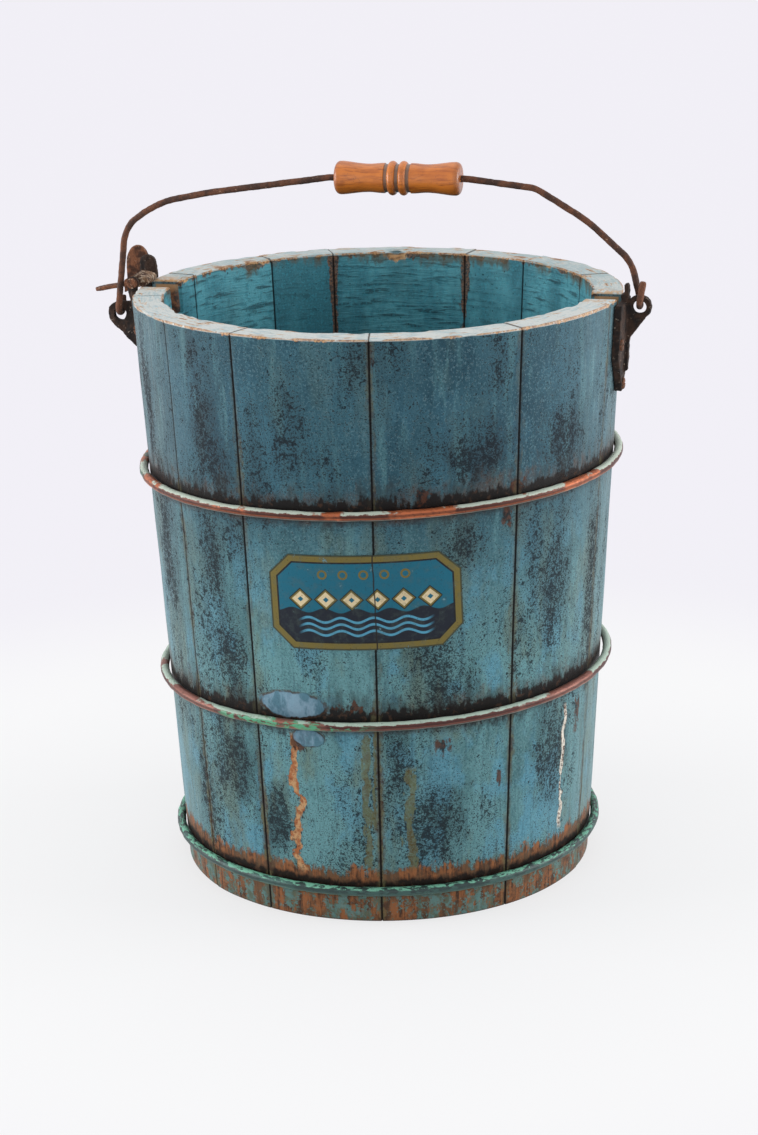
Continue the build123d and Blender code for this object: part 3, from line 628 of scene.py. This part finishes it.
def boardWood():
    material, shader, tree = newMaterial("stainedFloorWood", 0.3)
    p = millimetres(tree)
    x, y = p.part(0), p.part(1)
    grain = p.scaled(0.07, 1, 1).cloud(2.4, 5, 0.6, 0.5)
    patch = p.cloud(36, 4, 0.55)
    shade = grain.fade(0.36, 0.66).blend(colour(112, 92, 68), colour(66, 50, 38))
    shade = (patch.fade(0.42, 0.62) * 0.6).blend(shade, colour(66, 84, 84))
    edge = x.length(y) + (patch - 0.5) * 24
    shade = (edge.fade(92, 110) * 0.7).blend(shade, colour(52, 92, 106))
    shade = ((p.cloud(1.4, 4, 0.7) - 0.6).fade(0, 0.06) * 0.6).blend(shade, colour(24, 20, 18))
    feed(material, shader, base=shade, rough=0.8, normal=bumped(tree, grain, 0.4, 0.9))
    return material


label = {
    "azimuth": 10.0, "height": 204.5, "width": 111.0, "drop": 58.0, "corner": 12.0, "tilt": 1.5,
    "gap": 0.2, "thick": 0.3,
    # the design's rows as heights from the middle; diamond and ring are half a repeat
    "waves": (-10.5, -14.5, -18.5), "horizon": -4.4, "diamond": 7.5, "diamondRow": 2.0,
    "ring": 6.0, "ringRow": 17.2, "ringRadius": 2.3, "crease": 5.7,
    "border": colour(106, 94, 44), "line": colour(14, 16, 20), "sky": colour(12, 92, 114),
    "night": colour(16, 24, 36), "cream": colour(206, 188, 150), "ice": colour(74, 142, 170),
}


def labelFinish():
    material, shader, tree = newMaterial("varnishedLabel", 0.25)
    uv = tree.node("ShaderNodeTexCoord", output="UV").scaled(label["width"], label["drop"], 1)
    halfWidth, halfDrop = label["width"] / 2, label["drop"] / 2
    u = uv.part(0) - halfWidth
    v = uv.part(1) - halfDrop
    corner = (halfWidth + halfDrop - label["corner"] - abs(u) - abs(v)) * math.sqrt(0.5)
    inset = (halfWidth - abs(u)).least(halfDrop - abs(v)).least(corner)
    # a night sky over ice: a band of diamonds between a row of rings and three waves
    wave = tree.maths("SINE", u * 0.33)
    below = (v + wave * 1.4).fade(label["horizon"], label["horizon"] - 0.6)
    shade = below.blend(label["sky"], label["night"])
    for level in label["waves"]:
        crest = abs(v - level - wave * 1.5).fade(0.95, 0.55)
        shade = (crest * abs(u).fade(40, 34)).blend(shade, label["ice"])
    positive = u + 60  # whole repeats of both rows away from the middle
    cell = tree.maths("PINGPONG", positive, label["diamond"])
    band = abs(u).fade(44.5, 44.1)
    diamond = (label["diamond"] - cell) * 0.95 + abs(v - label["diamondRow"])
    shade = (diamond.fade(7.0, 6.7) * band).blend(shade, label["line"])
    shade = (diamond.fade(6.2, 5.9) * band).blend(shade, label["border"])
    shade = (diamond.fade(4.9, 4.6) * band).blend(shade, label["cream"])
    shade = (diamond.fade(1.8, 1.5) * band).blend(shade, label["sky"])
    ring = tree.maths("PINGPONG", positive, label["ring"]).length(v - label["ringRow"])
    outline = abs(ring - label["ringRadius"]).fade(0.75, 0.45) * abs(u).fade(33, 32.6)
    shade = outline.blend(shade, label["border"])
    shade = inset.fade(5.3, 5.0).blend(shade, label["line"])
    shade = inset.fade(4.3, 4.0).blend(shade, label["border"])
    # a painted shadow along the label's outer edge
    shade = inset.fade(1.1, 0.7).blend(shade, colour(58, 60, 40))
    # age
    p = millimetres(tree)
    wear = p.cloud(6, 4, 0.65)
    grain = p.cloud(1.1, 4, 0.65)
    shade = (wear.fade(0.45, 0.7) * 0.3).blend(shade, colour(70, 84, 78))
    shade = ((grain - 0.6).fade(0, 0.06) * 0.5).blend(shade, colour(20, 24, 26))
    flake = (wear + (grain - 0.5) * 0.4 - 0.7).fade(0, 0.02)
    shade = (flake * 0.8).blend(shade, colour(92, 132, 144))
    crease = abs(u - label["crease"] + (p.cloud(9, 2) - 0.5) * 1.6).fade(0.6, 0.25)
    shade = (crease * 0.9).blend(shade, colour(24, 20, 18))
    feed(material, shader, base=shade, rough=wear * 0.3 + 0.35, normal=bumped(tree, grain + wear, 0.2, 0.6))
    return material


finishes = {"painted": paintedWood()}
for finish, look in ironLooks.items():
    finishes[finish] = rustyIron(*look)
finishes["grip"] = turnedWood()
finishes["boards"] = boardWood()
finishes["label"] = labelFinish()
for name in hoopLines:
    finishes[name] = hoopFinish(name)
print("materials made:", len(finishes))


def added(name, mesh):
    data = bpy.data.meshes.new(name)
    mesh.to_mesh(data)
    mesh.free()
    made = bpy.data.objects.new(name, data)
    bpy.context.scene.collection.objects.link(made)
    return made


def show(name, mesh, finish, body, replaced):
    # a finished bmesh becomes the object that stands for those CAD nodes
    made = added(name, mesh)
    data = made.data
    data.materials.append(finishes[finish])
    for face in data.polygons:
        face.use_smooth = True
    data.set_sharp_from_angle(angle=math.radians(50))
    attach(made, body)
    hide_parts(*replaced)


def evaluated(thing):
    # the object's mesh with its modifiers applied; the object itself goes
    bpy.context.view_layer.update()
    graph = bpy.context.evaluated_depsgraph_get()
    mesh = bmesh.new()
    mesh.from_mesh(bpy.data.meshes.new_from_object(thing.evaluated_get(graph)))
    bpy.data.objects.remove(thing)
    return mesh


def notchCutter(azimuth):
    # a block whose top flares, for the notch's worn edges
    cutter = bmesh.new()
    bmesh.ops.create_cube(cutter, size=1)
    size = (stave["notchLength"], stave["notchWidth"], stave["notchDepth"] - stave["flareDepth"])
    bmesh.ops.scale(cutter, vec=size, verts=cutter.verts)
    topFace = max(cutter.faces, key=lambda face: face.calc_center_median().z)
    raised = bmesh.ops.extrude_face_region(cutter, geom=[topFace])["geom"]
    bmesh.ops.delete(cutter, geom=[topFace], context="FACES_ONLY")
    corners = [part for part in raised if isinstance(part, bmesh.types.BMVert)]
    bmesh.ops.translate(cutter, vec=(0, 0, 2 * stave["flareDepth"]), verts=corners)
    bmesh.ops.scale(cutter, vec=(1, stave["flare"], 1), verts=corners)
    place = outward(azimuth) * (tub["rimRadius"] - stave["notchInset"])
    place.z = tub["height"] - (stave["notchDepth"] + stave["flareDepth"]) / 2
    bmesh.ops.transform(cutter, matrix=Matrix.Translation(place), verts=cutter.verts)
    bmesh.ops.recalc_face_normals(cutter, faces=cutter.faces)
    return cutter


def drainCutter():
    cutter = bmesh.new()
    bmesh.ops.create_cone(cutter, cap_ends=True, segments=40, radius1=stave["drainRadius"],
                          radius2=stave["drainRadius"], depth=stave["drainLength"])
    turn = outward(stave["drainAzimuth"]).to_track_quat("Z", "Y").to_matrix().to_4x4()
    place = outward(stave["drainAzimuth"]) * wallRadius(stave["drainHeight"])
    place.z = stave["drainHeight"]
    bmesh.ops.transform(cutter, matrix=Matrix.Translation(place) @ turn, verts=cutter.verts)
    return cutter


def wear(mesh, number):
    # each stave stands a little proud or low, its walls wave, its rim is knocked and its paint blisters
    lift = noise.noise(Vector((number * 3.1, 0.4, 0))) * stave["step"]
    for vert in mesh.verts:
        flat = Vector((vert.co.x, vert.co.y, 0))
        radius = wallRadius(vert.co.z)
        depth = radius - flat.length
        flat.normalize()
        azimuth = math.degrees(math.atan2(flat.x, -flat.y)) % 360
        shift = noise.noise(vert.co * 26) * stave["wobble"]
        if depth < stave["outerSkin"]:
            for place, height, halfWidth, halfHeight, proud in blisters:
                u = math.radians(azimuth - place) * radius * 1000 / halfWidth
                v = (vert.co.z * 1000 - height) / halfHeight
                shift += max(0.0, 1 - u * u - v * v) ** 0.5 * proud / 1000
            vert.co += flat * (shift + lift * 0.35)
        elif depth > stave["innerSkin"]:
            vert.co -= flat * shift
        below = tub["height"] - vert.co.z
        if below < stave["waveZone"]:
            wave = noise.noise(vert.co * 34 + Vector((9, 0, 0))) * 0.0004 + lift * 0.6
            vert.co.z += wave * (1 - below / stave["waveZone"])
        if below < stave["knockZone"]:
            knock = max(0.0, noise.noise(vert.co * 90 + Vector((0, 5, 0))) - 0.1) * stave["knock"] * 2
            if depth < stave["knockZone"]:
                vert.co -= flat * knock
                vert.co.z -= knock * 0.6
            elif depth > tub["wall"] - stave["knockZone"]:
                vert.co += flat * knock
                vert.co.z -= knock * 0.6
        if below < stave["chipZone"] and depth > stave["chipDepth"]:
            for place, halfWidth, deep in stave["chips"]:
                ragged = noise.noise(vert.co * 200) * 0.3
                away = abs(math.radians(azimuth - place)) * radius / halfWidth + ragged
                bite = max(0.0, 1 - away) ** 0.5 * deep * (1 - below / stave["chipZone"])
                vert.co += flat * (bite * 0.9)
                vert.co.z -= bite * 0.45


def makeStave(number, start, width):
    mesh = bmesh.new()
    across = outward(start)
    # rows close up towards the rim, where the edges are knocked about
    rows = [row * stave["row"] for row in range(int(tub["height"] / stave["row"]))]
    rows = rows[:-1] + [tub["height"] - below for below in stave["rimRows"]]
    profile = [(wallRadius(height), height) for height in rows]
    profile += [(tub["rimRadius"] - depth, tub["height"]) for depth in stave["rimLines"]]
    profile += [(wallRadius(height) - tub["wall"], height) for height in reversed(rows)]
    profile += [(tub["footRadius"] - depth, 0) for depth in stave["footLines"]]
    corners = []
    for reach, height in profile:
        spot = across * reach
        spot.z = height
        corners.append(mesh.verts.new(spot))
    for corner, following in zip(corners, corners[1:] + corners[:1]):
        mesh.edges.new((corner, following))
    bmesh.ops.spin(mesh, geom=mesh.verts[:] + mesh.edges[:], cent=(0, 0, 0), axis=(0, 0, 1),
                   angle=math.radians(width), steps=max(12, int(width * 1.1)))
    bmesh.ops.holes_fill(mesh, edges=[edge for edge in mesh.edges if edge.is_boundary], sides=0)
    bmesh.ops.recalc_face_normals(mesh, faces=mesh.faces)
    sharp = [edge for edge in mesh.edges if len(edge.link_faces) == 2 and edge.calc_face_angle() > 0.9]
    bmesh.ops.bevel(mesh, geom=sharp, offset=stave["edge"], offset_type="OFFSET", affect="EDGES",
                    segments=2, profile=0.5, material=-1)
    cutters = [notchCutter(azimuth) for azimuth in (90, 270) if start < azimuth < start + width]
    if start < stave["drainAzimuth"] < start + width:
        cutters.append(drainCutter())
    if cutters:
        whole = added("whole", mesh)
        tools = [added("cutter", cutter) for cutter in cutters]
        for tool in tools:
            cut = whole.modifiers.new("cut", "BOOLEAN")
            cut.operation = "DIFFERENCE"
            cut.solver = "EXACT"
            cut.object = tool
        mesh = evaluated(whole)
        for tool in tools:
            bpy.data.objects.remove(tool)
    wear(mesh, number)
    node = "stave_%02d" % number
    show("paintedStave%02d" % number, mesh, "painted", "tub", [node])


for number, (start, width) in enumerate(zip(seams, tub["staveWidths"]), 1):
    makeStave(number, start, width)
print("staves made")

wireHoop = {"thick": 0.0055, "around": 360, "section": 14, "lumps": 0.0003}


def makeHoop(name):
    line = hoopLines[name]
    ring = bmesh.new()
    bmesh.ops.create_circle(ring, segments=wireHoop["section"], radius=wireHoop["thick"] / 2)
    reach = wallRadius(line["height"] / 1000) + line["slack"] / 1000 + wireHoop["thick"] / 2
    bmesh.ops.rotate(ring, cent=(0, 0, 0), matrix=Matrix.Rotation(math.pi / 2, 3, "X"), verts=ring.verts)
    bmesh.ops.translate(ring, vec=(reach, 0, 0), verts=ring.verts)
    bmesh.ops.spin(ring, geom=ring.verts[:] + ring.edges[:], cent=(0, 0, 0), axis=(0, 0, 1),
                   angle=2 * math.pi, steps=wireHoop["around"], use_merge=True)
    bmesh.ops.recalc_face_normals(ring, faces=ring.faces)
    ring.normal_update()
    for vert in ring.verts:
        bump = noise.noise(vert.co * 110) + 0.5 * noise.noise(vert.co * 320)
        vert.co += vert.normal * (bump * wireHoop["lumps"])
    up = Vector((0, 0, 1)) - riseDirection * line["rise"]
    turn = up.to_track_quat("Z", "Y").to_matrix().to_4x4()
    place = riseDirection * (line["shift"] / 1000)
    place.z = line["height"] / 1000
    bmesh.ops.transform(ring, matrix=Matrix.Translation(place) @ turn, verts=ring.verts)
    show(name.replace("hoop_", "") + "Hoop", ring, name, "tub", [name])


for name in hoopLines:
    makeHoop(name)
print("hoops made")

castings = {
    # CAD node: (name, finish, body, slot, grid size, roughness of the skin)
    "ear_hook_side": ("hookEar", "casting", "tub", "castings", 0.0005, 0.00035),
    "ear_latch_side": ("latchEar", "casting", "tub", "castings", 0.0005, 0.00035),
    "ear_hook_screws": ("hookEarScrews", "screw", "tub", "screws", 0.0003, 0.00008),
    "ear_latch_screws": ("latchEarScrews", "screw", "tub", "screws", 0.0003, 0.00008),
    "latch_lever": ("latchLever", "latch", "latch", "castings", 0.0004, 0.00018),
    "latch_cam": ("latchCam", "cam", "latch", "castings", 0.0004, 0.0002),
    "latch_pin": ("latchPin", "latch", "latch", "screws", 0.0003, 0.0001),
    "bail_wire": ("bailWire", "wire", "bail", "bail_wire", 0.0005, 0.00018),
    "can_socket": ("canSocket", "casting", "tub", "castings", 0.0006, 0.0002),
    "can_socket_screws": ("canSocketScrews", "screw", "tub", "screws", 0.0003, 0.00008),
}


def roughCast(node):
    # the CAD shape with its edges rounded and its skin pitted
    name, finish, body, slot, grid, pits = castings[node]
    copy = bmesh.new()
    copy.from_mesh(nodes[node].data)
    bmesh.ops.remove_doubles(copy, verts=copy.verts, dist=1e-6)
    bmesh.ops.recalc_face_normals(copy, faces=copy.faces)
    thing = added("cast", copy)
    remesh = thing.modifiers.new("grid", "REMESH")
    remesh.mode = "VOXEL"
    remesh.voxel_size = grid
    smooth = thing.modifiers.new("smooth", "SMOOTH")
    smooth.iterations = 3
    smooth.factor = 0.5
    mesh = evaluated(thing)
    mesh.normal_update()
    for vert in mesh.verts:
        rough = noise.noise(vert.co * 240) + 0.6 * noise.noise(vert.co * 620)
        vert.co += vert.normal * (rough * pits)
    show(name, mesh, finish, body, [node])


for node in castings:
    roughCast(node)
print("ironwork made")


def wrapped(u, v, proud):
    # u, v in millimetres from the label's middle, laid on the wall
    tilt = math.radians(label["tilt"])
    right = u * math.cos(tilt) - v * math.sin(tilt)
    up = u * math.sin(tilt) + v * math.cos(tilt)
    height = (label["height"] + up) / 1000
    radius = wallRadius(height) + proud / 1000
    turn = math.degrees(math.asin(right / 1000 / radius))
    spot = outward(label["azimuth"] + turn) * radius
    spot.z = height
    return spot


def makeLabel():
    sheet = bmesh.new()
    bmesh.ops.create_grid(sheet, x_segments=110, y_segments=30, size=0.5, calc_uvs=True)
    bmesh.ops.scale(sheet, vec=(label["width"], label["drop"], 1), verts=sheet.verts)
    halfWidth, halfDrop = label["width"] / 2, label["drop"] / 2
    for sideways in (-1, 1):
        for upwards in (-1, 1):
            cut = (sideways * halfWidth, upwards * (halfDrop - label["corner"]), 0)
            bmesh.ops.bisect_plane(sheet, geom=sheet.verts[:] + sheet.edges[:] + sheet.faces[:], plane_co=cut,
                                   plane_no=(sideways, upwards, 0), clear_outer=True, dist=1e-5)
    layer = sheet.loops.layers.uv.verify()
    for face in sheet.faces:
        for loop in face.loops:
            loop[layer].uv = (loop.vert.co.x / label["width"] + 0.5, loop.vert.co.y / label["drop"] + 0.5)
    raised = bmesh.ops.extrude_face_region(sheet, geom=sheet.faces[:], use_keep_orig=True)["geom"]
    front = {part for part in raised if isinstance(part, bmesh.types.BMVert)}
    for vert in sheet.verts:
        proud = label["gap"] + (label["thick"] if vert in front else 0)
        vert.co = wrapped(vert.co.x, vert.co.y, proud)
    bmesh.ops.recalc_face_normals(sheet, faces=sheet.faces)
    show("frontLabel", sheet, "label", "tub", ["label"])


makeLabel()

# the CAD's own meshes, dressed
for name, finish in [("bail_grip", "grip")] + [("floor_board_%d" % n, "boards") for n in range(1, 5)]:
    data = nodes[name].data
    data.materials.clear()
    data.materials.append(finishes[finish])
print("label, grip and boards made")

stage = {"floor": colour(250, 250, 251), "far": colour(242, 240, 247), "radius": 9,
         "matt": (0.86, 0.86, 0.87, 1), "sky": (0.68, 0.68, 0.68, 1)}


def makeFloor():
    # a matt floor that also glows a little, so that it stays as pale as the backdrop
    disc = bmesh.new()
    bmesh.ops.create_circle(disc, cap_ends=True, segments=96, radius=stage["radius"])
    floor = added("floor", disc)
    material = bpy.data.materials.new("paleFloor")
    material.use_nodes = True
    tree = Wire(material.node_tree)
    material.node_tree.nodes.clear()
    p = tree.node("ShaderNodeTexCoord", output="Object")
    far = tree.node("ShaderNodeVectorMath", {"operation": "LENGTH"}, {0: p}, 1)
    tint = far.fade(0.34, 0.62).blend(stage["floor"], stage["far"])
    seen = tree.node("ShaderNodeLightPath", output="Is Camera Ray")
    mirrored = tree.node("ShaderNodeLightPath", output="Is Glossy Ray")
    matt = tree.node("ShaderNodeBsdfDiffuse", None, {"Color": stage["matt"]})
    glow = tree.node("ShaderNodeEmission", None, {"Color": tint, "Strength": 1.0})
    share = seen.most(mirrored) * (far.fade(0.22, 0.9) * 0.28 + 0.7)
    both = tree.node("ShaderNodeMixShader", None, {0: share, 1: matt, 2: glow})
    output = material.node_tree.nodes.new("ShaderNodeOutputMaterial")
    material.node_tree.links.new(both.socket, output.inputs[0])
    floor.data.materials.append(material)


makeFloor()

scene = bpy.context.scene
world = bpy.data.worlds.new("studio")
world.use_nodes = True
scene.world = world
tree = Wire(world.node_tree)
background = world.node_tree.nodes["Background"]
seen = tree.node("ShaderNodeLightPath", output="Is Camera Ray")
mirrored = tree.node("ShaderNodeLightPath", output="Is Glossy Ray")
skyShade = seen.most(mirrored).blend(stage["sky"], stage["far"])
world.node_tree.links.new(skyShade.socket, background.inputs["Color"])


# azimuth, height, distance, width, watts
lamps = {
    "leftLight": (tub["facing"] - 88, 0.55, 1.7, 1.2, 20.0),
    "rightLight": (tub["facing"] + 88, 0.55, 1.7, 1.2, 20.0),
    "frontLight": (tub["facing"], 0.9, 2.0, 1.2, 3.0),
    "topLight": (200, 2.2, 0.5, 1.4, 3.4),
}


def softLight(name, azimuth, height, distance, size, power):
    # a lamp that looks at the tub's middle
    lamp = bpy.data.lights.new(name, "AREA")
    lamp.shape = "RECTANGLE"
    lamp.size = size
    lamp.size_y = size * 0.8
    lamp.energy = power
    made = bpy.data.objects.new(name, lamp)
    place = outward(azimuth) * distance
    place.z = height
    made.location = place
    made.rotation_euler = (Vector((0, 0, 0.2)) - place).to_track_quat("-Z", "Y").to_euler()
    scene.collection.objects.link(made)


for name, place in lamps.items():
    softLight(name, *place)

camera = {"place": (0.3855, -1.4908, 0.6520), "turn": 14.599, "down": 16.938, "roll": -1.1905, "lens": 81.33,
          "sensor": 36}
data = bpy.data.cameras.new("camera")
data.lens = camera["lens"]
data.sensor_width = camera["sensor"]
view = bpy.data.objects.new("camera", data)
turn = Matrix.Rotation(math.radians(camera["turn"]), 4, "Z")
pitch = Matrix.Rotation(math.radians(90 - camera["down"]), 4, "X")
roll = Matrix.Rotation(math.radians(camera["roll"]), 4, "Z")
view.matrix_world = Matrix.Translation(camera["place"]) @ turn @ pitch @ roll
scene.collection.objects.link(view)
scene.camera = view
scene.view_settings.view_transform = "Standard"
print("stage, lights and camera set")
